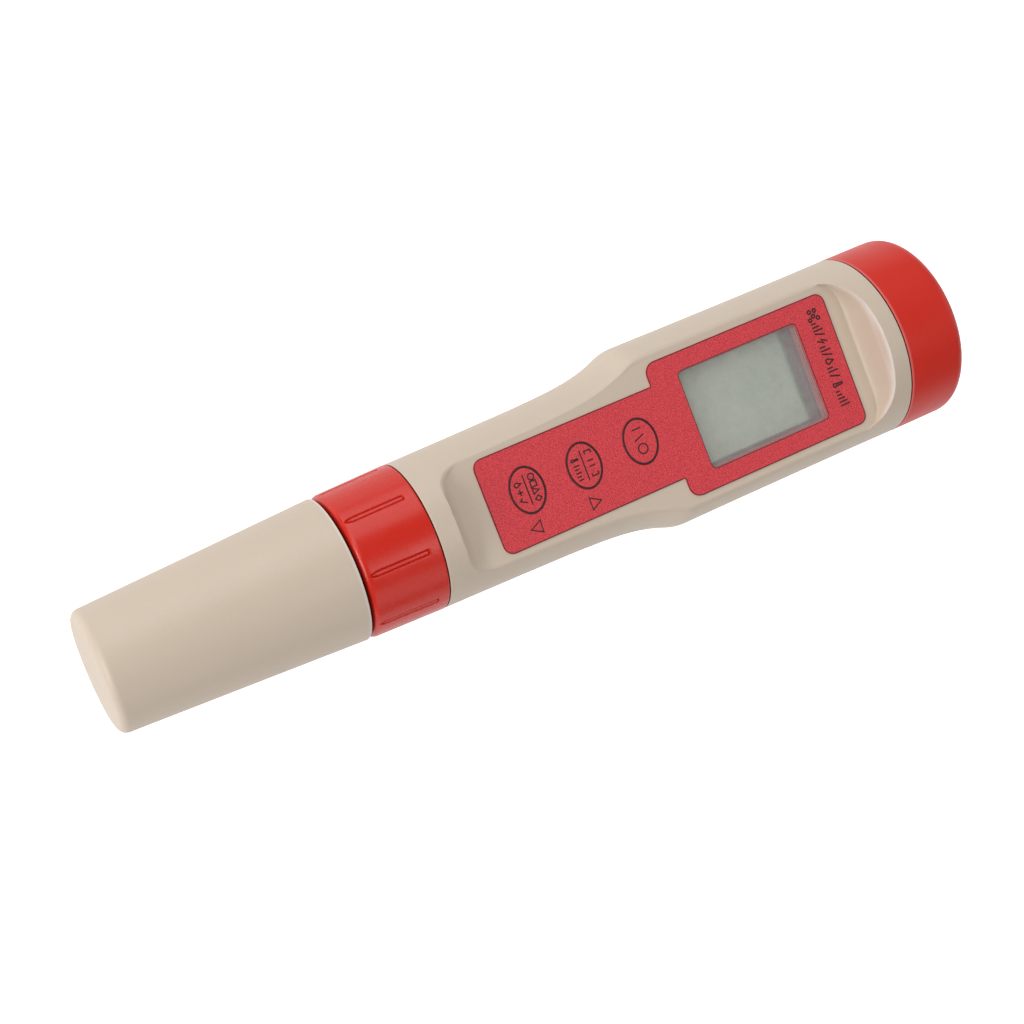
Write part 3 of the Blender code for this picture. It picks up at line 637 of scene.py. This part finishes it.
def body_radius(x):
    """Outer radius of the barrel, with the waist drawn as one smooth curve."""
    tangents = np.gradient(BODY_R, BODY_X)
    i = np.clip(np.searchsorted(BODY_X, x) - 1, 0, len(BODY_X) - 2)
    width = BODY_X[i + 1] - BODY_X[i]
    t = np.clip((x - BODY_X[i]) / width, 0.0, 1.0)
    return (
        BODY_R[i] * (1 + 2 * t) * (1 - t) ** 2 + BODY_R[i + 1] * t * t * (3 - 2 * t)
        + width * (tangents[i] * t * (1 - t) ** 2 - tangents[i + 1] * t * t * (1 - t)))


def cove(distance, run, height):
    """Rise of an elliptical cove whose wall turns steep at the end of its run."""
    t = np.clip(distance / run, 0.0, COVE_LIMIT)
    past = np.clip(distance - COVE_LIMIT * run, 0.0, None)
    return height * (1.0 - np.sqrt(1.0 - t * t)) + past * COVE_SLOPE


def turned_in(reach, crest, radius):
    """How far a recess end is drawn in at its rounded corners."""
    corner = np.clip(reach - crest + radius, 0.0, 0.97 * radius)
    return radius - np.sqrt(radius ** 2 - corner ** 2)


def recess_height(x, y):
    """Height of the recess surface over a point of the face."""
    reach = np.abs(y)
    rise = 0.4 * smooth_step(x, 104.0, 117.5)
    crest = np.sqrt(body_radius(x) ** 2 - (FACE_Z + rise) ** 2)
    side = np.clip((reach - crest) * SIDE_SLOPE + rise, 0.0, None)
    tip = cove(RECESS_START - x + turned_in(reach, crest, CORNER_R), TIP_RUN, TIP_RISE)
    run = FAR_RUN * (1.0 - 0.6 * smooth_step(reach, 8.0, 14.0))
    far = cove(x - RECESS_END + turned_in(reach, crest, FAR_CORNER_R), run, FAR_RISE)
    return FACE_Z + soft_max(side, soft_max(tip, far, WALL_BLEND), WALL_BLEND)


def outer_ring(x, angles):
    """One ring of the barrel's outside at x, pressed to the recess surface, and the painted
    highlight along its crest.
    """
    radius = body_radius(x)
    y = radius * np.sin(angles)
    z = radius * np.cos(angles)
    if x < RECESS_START - 6.0 or x > RECESS_END + 4.5:
        return y, z, np.zeros_like(y)
    head = smooth_step(x, 108.0, 118.0) * (1.0 - smooth_step(x, 155.0, 161.5))
    level = recess_height(x, y)
    tip = 1.0 - smooth_step(x, 71.0, 74.0)
    pressed = soft_min(z, level, 0.45 + 0.8 * head + 0.5 * tip)
    front = np.abs(angles) < math.radians(85.0)
    slope = (recess_height(x + 0.05, y) - recess_height(x - 0.05, y)) / 0.1
    gap = (z - level) / np.hypot(1.0, slope)
    # painted highlight along the crest of the recess, strongest at the far wall
    pale = 0.2 + 0.8 * smooth_step(x, 160.0, 162.5)
    return y, np.where(front, pressed, z), np.exp(-(gap / HIGHLIGHT_WIDTH) ** 2) * front * pale


def build_barrel():
    """Housing: neck, waisted body, face recess, cavity, window and key openings."""
    fine = np.radians(np.arange(-64.0, 64.01, 0.4))
    coarse = np.radians(np.arange(67.0, 293.1, 2.5))
    angles = np.concatenate([fine, coarse])
    stations = np.unique(np.round(np.concatenate([
        np.arange(BODY_START + 0.5, 67.0, 0.6),
        np.arange(67.0, 74.6, 0.18),
        np.arange(74.6, 100.0, 1.2),
        np.arange(100.0, 120.0, 0.4),
        np.arange(120.0, 158.0, 1.4),
        np.arange(158.0, 161.0, 0.3),
        np.arange(161.0, 162.0, 0.12),
        np.arange(162.0, 164.8, 0.08),
        np.arange(164.8, 166.8, 0.2),
        np.arange(166.8, BODY_END - 0.4, 0.4)]), 3))
    start_r = float(body_radius(BODY_START + 0.5))
    end_r = float(body_radius(BODY_END))
    rings, painted_light = [], []

    def add_ring(x, y, z, crest=0.0):
        rings.append(np.stack([np.full_like(angles, x), y, z], 1))
        painted_light.append(np.full_like(angles, crest) if np.isscalar(crest) else crest)

    def circle(x, r, flat=None, crest=0.0):
        y, z = r * np.sin(angles), r * np.cos(angles)
        if flat is not None:
            z = np.minimum(z, flat)
        add_ring(x, y, z, crest)

    mouth = BARREL_LOW[0]
    for x, r in fillet([
            (mouth + 0.6, 10.2, 0), (mouth, 10.8, 0), (mouth, 11.3, 0), (mouth + 0.5, NECK_R, 0),
            (BODY_START, NECK_R, 0), (BODY_START, start_r, 0.15),
            (BODY_START + 0.5, start_r, 0)], segments=4):
        # painted shade on the barrel's start face in the joint with the collar
        circle(x, r, crest=-float(x > BODY_START - 0.01 and r < start_r - 0.1))
    for x in stations[1:]:
        add_ring(x, *outer_ring(x, angles))
    for x, r in fillet([
            (BODY_END - 0.35, end_r, 0), (BODY_END, end_r, 0.1), (BODY_END, 17.2, 0.15),
            (SPIGOT_START - 0.2, 17.0, 0)], segments=4):
        # painted shade on the barrel's end face in the joint with the battery cap
        circle(x, r, crest=-float(x > BODY_END - 0.05 and r < end_r - 0.05))
    for x, r in ((SPIGOT_START - 0.2, 16.9), (117.0, 16.9), (114.5, 16.4), (108.0, 14.6),
                 (101.0, 13.6), (90.0, 13.1), (CAVITY_X, 12.9)):
        circle(x, r, CAVITY_ROOF)
    for x, r in ((CAVITY_X, BORE_R), (SOCKET_X, BORE_R), (SOCKET_X, BORE_R + 2.0)):
        circle(x, r)
    faces = tube_faces(len(rings), len(angles), closed=True)
    barrel = piece("barrel_shell", np.concatenate(rings), faces, "beige", None,
                   slot="beige_abs", replaces=("barrel",), smooth=CUT_SMOOTH_ANGLE)
    # painted highlight along the recess crest and painted shade in the joints
    paint_crest_light(barrel, np.concatenate(painted_light))
    window = rectangle(WINDOW_LOW[0] + 0.9, WINDOW_HIGH[0] - 0.9, 10.1, 0.8)
    rebate = rectangle(WINDOW_LOW[0] - 0.1, WINDOW_HIGH[0] + 0.1, 11.1, 0.0)
    tools = [cutter("window", window, 5.0), cutter("rebate", rebate, WINDOW_LOW[2] - 0.05)]
    for name, (low, high) in KEYS.items():
        centre = (low + high) / 2.0
        tools.append(cutter(name, oval(centre, *KEY_WELL, 64), 9.3))
        tools.append(cutter("stem_" + name, oval(centre, *STEM_WELL, 32), 7.0))
    subtract(barrel, tools)
    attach(barrel, "barrel")


def build_thread():
    """Two turns of round ridge on the neck, in the CAD's own place."""
    verts = []
    total = int(THREAD_TURNS * THREAD_STEPS)
    for i in range(total + 1):
        x = THREAD_START + THREAD_LEAD * i / THREAD_STEPS
        a = math.tau * x / THREAD_LEAD
        fade = min(1.0, i / 10.0, (total - i) / 10.0)
        size = THREAD_WIRE * (0.15 + 0.85 * fade)
        centre_r = THREAD_R - (THREAD_WIRE - size) * 0.9
        for k in range(THREAD_SIDES):
            b = math.tau * k / THREAD_SIDES
            r = centre_r + size * math.cos(b)
            verts.append((x + size * math.sin(b), r * math.cos(a), r * math.sin(a)))
    faces = end_faces(total + 1, THREAD_SIDES) + tube_faces(total + 1, THREAD_SIDES)
    piece("neck_thread", verts, faces, "beige", "barrel", slot="beige_abs")


# ---------------------------------------------------------------- turned parts

def build_cap():
    """Protective cap with a softly rounded closed end."""
    profile = fillet([
        (0.0, 0.0, 0), (0.0, 11.94, 1.7), (CAP_END - 0.9, 14.236, 0),
        (CAP_END - 0.6, 14.251, 0), (CAP_END, 14.28, 0.2), (CAP_END, 12.85, 0.1),
        (CAP_END - 0.6, 12.45, 0.2), (33.0, 12.45, 0.4), (31.8, 11.55, 0.4),
        (2.4, 10.2, 0.6), (1.8, 0.0, 0)], segments=8)
    cap = lathe("cap_shell", profile, "beige", "cap", slot="beige_abs",
                replaces=("protective_cap",))
    # painted highlight on the cap's lip and painted shade on its end face
    paint_lip_light(cap, CAP_END - 0.12, 0.25, CAP_END, 14.1)


def build_collar():
    """Lock collar: turned body whose outside carries eight narrow grip flutes."""
    low, high = COLLAR_LOW[0], COLLAR_HIGH[0]
    outside = fillet([
        (low, 10.8, 0), (low, 14.33, 1.5), (high, 14.77, 0.35), (high, 12.9, 0)], segments=10)
    dense = []
    for one, two in zip(outside, outside[1:]):
        steps = max(1, int(abs(two[0] - one[0]) / 0.1))
        for k in range(steps):
            dense.append(one + (two - one) * k / steps)
    profile = dense + [
        np.array(point) for point in ((high, 13.1), (high - 0.5, 12.75), (51.3, 12.75),
                                      (51.0, 12.4), (51.0, 10.8))]
    pitch = math.tau / FLUTES
    offsets = np.radians(np.concatenate([
        np.linspace(-3.2, 3.2, 41), np.linspace(4.6, 40.4, 15)]))
    angles = np.concatenate([FLUTE_PHASE + pitch * i + offsets for i in range(FLUTES)])
    near = np.concatenate([offsets for _ in range(FLUTES)])
    near = np.where(near > pitch / 2.0, near - pitch, near)
    verts = []
    for x, r in profile:
        depth = 0.0
        if r > 13.5:
            half = FLUTE_HALF * math.sqrt(np.clip((x - FLUTE_START) / FLUTE_POINT, 0.0, 1.0))
            beside, beyond = np.abs(near) * r - half, x - FLUTE_END
            across = np.hypot(np.clip(beside + FLUTE_ROUND, 0.0, None),
                              np.clip(beyond + FLUTE_ROUND, 0.0, None))
            across = np.where(across > 0.0, across - FLUTE_ROUND, np.maximum(beside, beyond))
            fade = smooth_step(x, FLUTE_START - 0.4, FLUTE_START + 0.4)
            line = np.exp(-(across / FLUTE_LINE) ** 2)
            inside = 1.0 - smooth_step(across, -0.1, 0.05)
            depth = fade * (FLUTE_DEPTH * line + FLUTE_SINK * inside)
        rr = np.full_like(angles, r) - depth
        verts.append(np.stack([np.full_like(angles, x), rr * np.sin(angles),
                               rr * np.cos(angles)], 1))
    faces = tube_faces(len(verts), len(angles), closed=True)
    points = np.concatenate(verts)
    collar = piece("collar_ring", points, faces, "collar", "collar", slot="gloss_red_abs",
                   replaces=("lock_collar",))
    radius = np.hypot(points[:, 1], points[:, 2])
    # painted shade where the shoulder meets the cap and on the face beside the barrel
    cap_side = (points[:, 0] < low + 1.0) * (1.0 - smooth_step(radius, 13.0, 13.6))
    barrel_side = (points[:, 0] > high - 0.2) * (radius < 14.62)
    paint_crest_light(collar, -np.maximum(cap_side, barrel_side))


def build_end_cap():
    """Battery cap with its wide rounded end and the spigot that enters the barrel."""
    profile = fillet([
        (PEN_END, 0.0, 0), (PEN_END, END_R + 0.02, 2.7), (END_START + 0.6, END_R - 0.02, 0),
        (END_START, END_R - 0.02, 0.18), (END_START, SPIGOT_R, 0), (167.2, SPIGOT_R, 0),
        (167.2, 15.4, 0), (165.8, 15.4, 0), (165.8, SPIGOT_R, 0),
        (SPIGOT_START, SPIGOT_R, 0.4), (SPIGOT_START, 13.8, 0.2), (180.0, 13.8, 0.5),
        (180.0, 4.0, 0.5), (SPIGOT_START, 4.0, 0.3), (SPIGOT_START, 0.0, 0)], segments=10)
    cap = lathe("end_cap", profile, "end", "battery_end", slot="satin_red_abs",
                replaces=("battery_cap",))
    # painted highlight on the battery cap's lip and painted shade on its joint face
    paint_lip_light(cap, END_START + 0.1, 0.2, END_START, 18.9)


# ---------------------------------------------------------------- face

def build_label():
    """Printed film with its window and key openings."""
    outline = fillet([
        (LABEL_LOW[0], -HALF_NARROW, 2.0), (LABEL_STEP, -HALF_NARROW, 0.2),
        (LABEL_STEP, -HALF_WIDE, 2.4), (LABEL_HIGH[0], -HALF_WIDE, 2.0),
        (LABEL_HIGH[0], HALF_WIDE, 2.0), (LABEL_STEP, HALF_WIDE, 2.4),
        (LABEL_STEP, HALF_NARROW, 0.2), (LABEL_LOW[0], HALF_NARROW, 2.0)], closed=True)
    label = prism("label_sheet", outline, LABEL_LOW[2], FILM_TOP, "label", None,
                  slot="label_film", replaces=("face_label",))
    hole = rectangle(HOLE_LOW, HOLE_HIGH, HOLE_HALF, 1.0)
    tools = [cutter("hole", hole, 9.0)]
    for name, (low, high) in KEYS.items():
        tools.append(cutter(name, oval((low + high) / 2.0, *KEY_HOLE), 9.0))
    subtract(label, tools)
    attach(label, "barrel")
    well = rectangle(WINDOW_LOW[0] + 0.92, WINDOW_HIGH[0] - 0.92, 10.08, 0.8)
    # the pinkish bands on the well wall and the pane's edge paint the wall's shade and its
    # reflected red
    for name, loop, width, bottom, top, look in (
            ("well_wall_shade", well, 0.3, CAVITY_ROOF, WINDOW_LOW[2] - 0.04, "well_shade"),
            ("window_margin", hole[::-1], 0.5, WINDOW_LOW[2] + 0.02, WINDOW_HIGH[2] - 0.02,
             "well_shade"),
            ("label_rim", outline, 0.2, INK_BOTTOM, RIM_TOP, "film_edge"),
            ("window_rim", hole[::-1], 0.14, INK_BOTTOM, RIM_TOP, "film_edge")):
        ring(name, loop, width, bottom, top, look, "barrel")
    # lip of the display frame by the window's far edge; with the frame's dark mauve it paints the
    # band of shade and reflection there
    lip = [(148.3, -9.18), (149.1, -9.18), (149.1, 10.38), (148.3, 10.38)]
    prism("frame_shade_lip", lip, 8.28, 8.4, "frame", "barrel", slot="frame_mauve")


def ring(name, outline, width, bottom, top, look, body):
    """Flat band of the given width on the left side of a closed outline."""
    outline = np.asarray(outline, float)
    before = outline - np.roll(outline, 1, axis=0)
    after = np.roll(outline, -1, axis=0) - outline
    before /= np.linalg.norm(before, axis=1)[:, None]
    after /= np.linalg.norm(after, axis=1)[:, None]
    normal = np.stack([-(before + after)[:, 1], (before + after)[:, 0]], 1)
    length = np.linalg.norm(normal, axis=1)[:, None]
    normal /= length
    inner = outline + normal * width * (2.0 / length)
    count = len(outline)
    verts = np.concatenate([
        np.c_[outline, np.full(count, bottom)], np.c_[inner, np.full(count, bottom)],
        np.c_[inner, np.full(count, top)], np.c_[outline, np.full(count, top)]])
    faces = tube_faces(4, count, closed=True)
    piece(name, verts, faces, look, body, slot="label_film")


def strokes(name, paths, width, body, base=(0.0, 0.0)):
    """Printed signs: each path is (closed, points) and becomes a flat inked band."""
    verts, faces = [], []
    for closed, points in paths:
        p = np.asarray(points, float) + np.array(base)
        count = len(p)
        if closed:
            before = p - np.roll(p, 1, axis=0)
            after = np.roll(p, -1, axis=0) - p
        else:
            segments = np.diff(p, axis=0)
            before = np.vstack([segments[:1], segments])
            after = np.vstack([segments, segments[-1:]])
        before = before / np.linalg.norm(before, axis=1)[:, None]
        after = after / np.linalg.norm(after, axis=1)[:, None]
        total = before + after
        length = np.linalg.norm(total, axis=1)[:, None]
        normal = np.stack([-total[:, 1], total[:, 0]], 1) / length
        offset = normal * (width / 2.0) * np.minimum(2.0 / length, 2.2)
        start = len(verts)
        for side, z in ((1, INK_BOTTOM), (-1, INK_BOTTOM), (-1, INK_TOP), (1, INK_TOP)):
            verts.extend(np.c_[p + side * offset, np.full(count, z)].tolist())
        loop = count if closed else count - 1
        for i in range(loop):
            j = (i + 1) % count
            for a in range(4):
                b = (a + 1) % 4
                faces.append((start + a * count + i, start + a * count + j,
                              start + b * count + j, start + b * count + i))
        if not closed:
            faces.append(tuple(start + a * count for a in range(4)))
            faces.append(tuple(start + a * count + count - 1 for a in range(4)))
    piece(name, verts, faces, "ink", body, slot="label_film")


def circle_path(cx, cy, r, count=24, start=0.0, sweep=math.tau):
    """Circle, or an open arc when the sweep is less than a full turn."""
    closed = abs(sweep - math.tau) < 1e-6
    a = start + sweep * np.arange(count) / (count if closed else count - 1)
    return closed, np.stack([cx + r * np.cos(a), cy + r * np.sin(a)], 1)


def line_path(*points):
    """Open line through points."""
    return False, np.array(points, float)


def shape_path(*points):
    """Closed line through points."""
    return True, np.array(points, float)


def drop_path(cx, cy, size):
    """Water drop whose point is up the pen."""
    a = np.linspace(math.radians(52.0), math.radians(308.0), 18)
    body = np.stack([cx - 0.22 * size + 0.42 * size * np.cos(a), cy + 0.42 * size * np.sin(a)], 1)
    return True, np.vstack([[cx + 0.72 * size, cy], body])


def thermometer_paths(cx, cy, size):
    """Thermometer lying along the pen: an open bulb and its tube."""
    bulb = circle_path(cx - 0.55 * size, cy, 0.26 * size, 16, math.radians(35.0),
                       math.radians(290.0))
    tube = line_path((cx - 0.36 * size, cy + 0.15 * size), (cx + 0.75 * size, cy + 0.15 * size),
                     (cx + 0.86 * size, cy), (cx + 0.75 * size, cy - 0.15 * size),
                     (cx - 0.36 * size, cy - 0.15 * size))
    return [bulb, tube]


def key_signs():
    """Signs on the keys: shapes, drop, plus and tick; brackets, bars, thermometer; power marks.

    The signs stand in two rows, one on each side of the line across the key's middle.
    """
    up = 1.55
    mode = [
        line_path((0.0, 3.0), (0.0, -3.0)),
        circle_path(up, 2.1, 0.62), shape_path((up - 0.6, 0.15), (up + 0.6, 0.15),
                                               (up + 0.6, 1.25), (up - 0.6, 1.25)),
        shape_path((up - 0.6, -1.25), (up - 0.6, -0.1), (up + 0.65, -0.68)),
        shape_path((up, -2.75), (up + 0.68, -2.2), (up, -1.65), (up - 0.68, -2.2)),
        drop_path(-up, 1.6, 1.0),
        line_path((-up - 0.6, 0.0), (-up + 0.6, 0.0)),
        line_path((-up, -0.6), (-up, 0.6)),
        line_path((-up, -1.1), (-up - 0.6, -1.5), (-up + 0.7, -2.2))]
    hold = [
        line_path((0.0, 3.0), (0.0, -3.0)),
        line_path((up + 0.65, 1.9), (up + 0.65, 2.5), (up - 0.65, 2.5), (up - 0.65, 1.9)),
        line_path((up - 0.65, 0.55), (up + 0.65, 0.55)),
        line_path((up - 0.65, -0.55), (up + 0.65, -0.55)),
        line_path((up + 0.65, -1.9), (up + 0.65, -2.5), (up - 0.65, -2.5), (up - 0.65, -1.9)),
        *thermometer_paths(-up, 1.6, 0.9),
        line_path((-up - 0.6, 0.45), (-up + 0.6, 0.45)),
        line_path((-up - 0.6, -0.25), (-up + 0.3, -0.25)),
        line_path((-up - 0.6, -0.95), (-up + 0.6, -0.95)),
        line_path((-up - 0.6, -1.65), (-up + 0.3, -1.65)),
        line_path((-up - 0.6, -2.35), (-up + 0.6, -2.35))]
    power = [
        line_path((-0.95, 2.5), (0.95, 2.5)),
        line_path((-1.1, 0.35), (1.1, 1.15)),
        circle_path(0.0, -1.5, 0.98, 28)]
    for name, paths in (("key_mode", mode), ("key_hold", hold), ("key_power", power)):
        low, high = KEYS[name]
        centre = (low + high)[:2] / 2.0
        strokes(name + "_sign", paths, SIGN_LINE, BODY_OF_KEY[name], centre)


def build_keys():
    """Oval key pads with stems, a printed outline and signs."""
    for name, (low, high) in KEYS.items():
        centre = (low + high)[:2] / 2.0
        top = high[2]
        pad, stem = oval(centre, *KEY_PAD), oval(centre, *KEY_STEM)
        levels = [(stem, 8.0), (stem, 9.8), (pad, 9.8), (pad, top - 0.05),
                  (oval(centre, *KEY_PAD_TOP), top)]
        count = len(pad)
        verts = np.concatenate([np.c_[loop, np.full(count, z)] for loop, z in levels])
        faces = end_faces(len(levels), count) + tube_faces(len(levels), count)
        body = BODY_OF_KEY[name]
        piece(name + "_pad", verts, faces, "label", body, slot="label_film", replaces=(name,))
        ring(name + "_outline", oval(centre, *KEY_RING), KEY_LINE, INK_BOTTOM, INK_TOP, "ink",
             body)
    key_signs()


def face_signs():
    """Small signs printed on the film: arrows by two keys and the row over the display."""
    for name, arrow in (
            ("arrow_down", shape_path((85.6, -5.54), (83.26, -6.68), (85.48, -7.9))),
            ("arrow_up", shape_path((96.5, -5.46), (98.75, -6.72), (96.5, -7.88)))):
        strokes(name, [arrow], ARROW_LINE, "barrel")
    x, half = ROW_X, ROW_HALF
    paths = []

    def slash(y):
        paths.append(line_path((x - half, y + 0.35), (x + half, y - 0.35)))

    def bars(y, levels):
        for i, level in enumerate(levels):
            at = y - i * BAR_PITCH
            paths.append(line_path((x - half, at), (x - half + 2 * half * level, at)))

    for cx, cy in ((x - 0.6, 10.9), (x + 0.6, 10.9), (x, 9.9), (x - 0.95, 9.3), (x + 0.95, 9.3)):
        paths.append(circle_path(cx, cy, 0.36, 12))
    bars(8.4, (0.5, 0.75, 1.0))
    slash(6.1)
    paths.append(line_path((x + half, 4.3), (x - 0.1, 5.0), (x + 0.15, 4.2), (x - half, 4.9)))
    bars(3.4, (0.6, 1.0))
    slash(1.8)
    paths.append(drop_path(x - 0.05, 0.35, 1.25))
    bars(-1.0, (0.6, 1.0))
    slash(-2.8)
    paths.extend(thermometer_paths(x - 0.1, -4.6, 1.3))
    bars(-6.0, (0.4, 0.55, 0.7, 0.85, 1.0))
    strokes("display_signs", paths, ROW_LINE, "barrel")


# ---------------------------------------------------------------- stage

# soft rectangular lamps: name, place in metres, width, height, watts
LAMPS = (
    ("low_light", (-0.85, 0.0, 0.4), 0.6, 0.5, 5.5),
    ("cross_light", (-0.45, 0.5, 0.7), 0.5, 0.5, 1.55),
    ("high_light", (0.09, 0.75, 0.65), 0.8, 0.5, 2.1),
    ("side_light", (0.09, 0.95, 0.3), 0.8, 0.4, 1.6),
    ("corner_light", (0.8, 0.6, 0.5), 0.6, 0.6, 0.35),
    ("front_light", (0.4, -0.3, 0.95), 0.4, 0.4, 1.25),
    ("fill_light", (0.1, -0.85, 0.45), 0.8, 0.5, 1.05),
    ("end_light", (1.0, 0.0, 0.4), 0.6, 0.5, 1.0),
)
LAMP_AIM = (0.09, 0.0, 0.0)

# camera: metres, and degrees about X, then Y, then Z
CAMERA_PLACE = (-0.039434, 0.034191, 0.346705)
CAMERA_TURN = (2.12598, -20.40427, -22.82327)
CAMERA_LENS = 67.39


def build_stage():
    """Plain pale floor, soft lights and the camera."""
    n = Nodes("stage_floor")
    n.set(Base_Color=n.mix(n.noise(4.0), linear((200, 200, 200)), linear((203, 203, 203))))
    n.set(Roughness=0.9, Specular_IOR_Level=0.0)
    seen = n.add("ShaderNodeLightPath").outputs["Is Camera Ray"]
    n.set(Emission_Color=(1.0, 1.0, 1.0, 1.0))
    n.set(Emission_Strength=n.remap(seen, 0.0, 1.0, FLOOR_BOUNCE, 1.0))
    size, z = STAGE_HALF, FLOOR_Z * MM - STAGE_GAP
    mesh = bpy.data.meshes.new("stage_floor")
    mesh.from_pydata([(-size, -size, z), (size, -size, z), (size, size, z), (-size, size, z)],
                     [], [(0, 1, 2, 3)])
    floor = bpy.data.objects.new("stage_floor", mesh)
    bpy.context.scene.collection.objects.link(floor)
    mesh.materials.append(n.mat)

    world = bpy.data.worlds.new("studio")
    bpy.context.scene.world = world
    world.use_nodes = True
    backdrop = world.node_tree.nodes["Background"]
    backdrop.inputs["Color"].default_value = (1.0, 1.0, 1.0, 1.0)
    camera_ray = world.node_tree.nodes.new("ShaderNodeLightPath").outputs["Is Camera Ray"]
    strength = world.node_tree.nodes.new("ShaderNodeMapRange")
    strength.inputs["To Min"].default_value = SKY_LIGHT
    world.node_tree.links.new(camera_ray, strength.inputs["Value"])
    world.node_tree.links.new(strength.outputs["Result"], backdrop.inputs["Strength"])

    for name, place, width, height, power in LAMPS:
        data = bpy.data.lights.new(name, "AREA")
        data.shape = "RECTANGLE"
        data.size = width
        data.size_y = height
        data.energy = power
        lamp = bpy.data.objects.new(name, data)
        bpy.context.scene.collection.objects.link(lamp)
        lamp.location = place
        aim = Vector(LAMP_AIM) - Vector(place)
        lamp.rotation_euler = aim.to_track_quat("-Z", "Y").to_euler()

    camera = bpy.data.cameras.new("camera")
    camera.sensor_width = 36.0
    camera.lens = CAMERA_LENS
    camera.clip_start = 0.01
    holder = bpy.data.objects.new("camera", camera)
    bpy.context.scene.collection.objects.link(holder)
    holder.location = CAMERA_PLACE
    holder.rotation_euler = [math.radians(angle) for angle in CAMERA_TURN]
    bpy.context.scene.camera = holder
    bpy.context.scene.view_settings.view_transform = "Standard"


dress_nodes()
build_barrel()
build_thread()
build_cap()
build_collar()
build_end_cap()
build_label()
build_keys()
face_signs()
build_stage()
